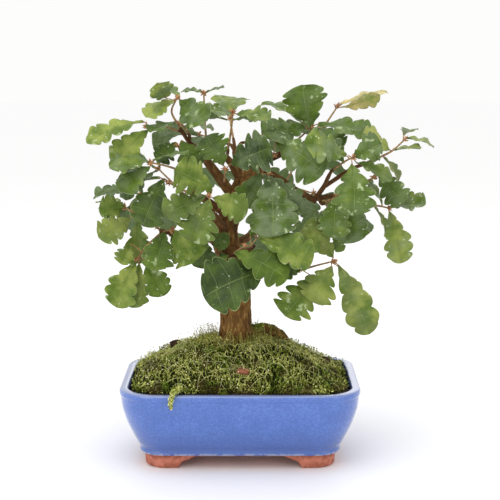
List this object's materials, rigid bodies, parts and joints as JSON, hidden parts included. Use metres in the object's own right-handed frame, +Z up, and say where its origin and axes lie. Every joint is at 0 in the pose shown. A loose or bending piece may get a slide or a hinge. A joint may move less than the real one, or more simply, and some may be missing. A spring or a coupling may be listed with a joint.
{
  "type": "potted bonsai tree",
  "caption": "Small oak tree with a thick trunk and lobed leaves, growing from a mossy mound in a glazed rounded rectangular pot with unglazed corner feet.",
  "frame": {"origin": "middle of the whole object's outer box at the height of the feet's undersides; the pot's own middle lies 22 mm to the left of it and 26 mm in front", "axes": "+X to the right seen from the front, +Y toward the back, +Z up along the trunk"},
  "size_m": [0.3742, 0.255, 0.4132],
  "materials": {
    "glazed_ceramic": "gloss",
    "drain_plastic": "matte",
    "aluminium_wire": "satin",
    "potting_soil": "matte",
    "moss": "matte",
    "bark_chip": "matte",
    "oak_bark": "matte",
    "oak_leaf": "satin"
  },
  "bodies": {
    "root": {"pot": "glazed_ceramic", "drain_mesh_left": "drain_plastic", "drain_mesh_right": "drain_plastic", "mesh_staple_left": "aluminium_wire", "mesh_staple_right": "aluminium_wire", "soil": "potting_soil", "moss": "moss", "moss_tuft": "moss", "soil_lump_left": "potting_soil", "soil_lump_right": "potting_soil", "soil_lump_back": "potting_soil", "bark_chip": "bark_chip", "trunk": "oak_bark", "shoot_top_left": "oak_leaf", "shoot_left_crest": "oak_leaf", "shoot_left_inner": "oak_leaf", "shoot_crown_bud": "oak_leaf", "shoot_crown_middle": "oak_leaf", "shoot_left_face": "oak_leaf", "shoot_left_inner_face": "oak_leaf", "shoot_left_side": "oak_leaf", "shoot_front_face": "oak_leaf", "shoot_left_low_face": "oak_leaf", "shoot_middle_low_face": "oak_leaf", "shoot_far_left": "oak_leaf", "shoot_left_low": "oak_leaf", "shoot_centre_face": "oak_leaf", "shoot_centre_right": "oak_leaf", "shoot_top_right": "oak_leaf", "shoot_top_far_right": "oak_leaf", "shoot_right_knuckle": "oak_leaf", "shoot_right_face": "oak_leaf", "shoot_far_right_tip": "oak_leaf", "shoot_right_edge": "oak_leaf", "shoot_far_right": "oak_leaf", "shoot_centre_hanging": "oak_leaf", "shoot_front_low": "oak_leaf", "shoot_low_right": "oak_leaf", "shoot_low_middle": "oak_leaf", "shoot_trunk_front": "oak_leaf", "shoot_trunk_sprout": "oak_leaf", "shoot_back_left_low": "oak_leaf", "shoot_back_left_high": "oak_leaf", "shoot_back_left_side": "oak_leaf", "shoot_back_low": "oak_leaf", "shoot_back_low_right": "oak_leaf", "shoot_back_right": "oak_leaf", "shoot_back_right_high": "oak_leaf", "shoot_back_right_side": "oak_leaf", "shoot_back_top": "oak_leaf", "shoot_back_top_left": "oak_leaf", "shoot_back_top_right": "oak_leaf", "shoot_back_middle": "oak_leaf"}
  },
  "joints": []
}
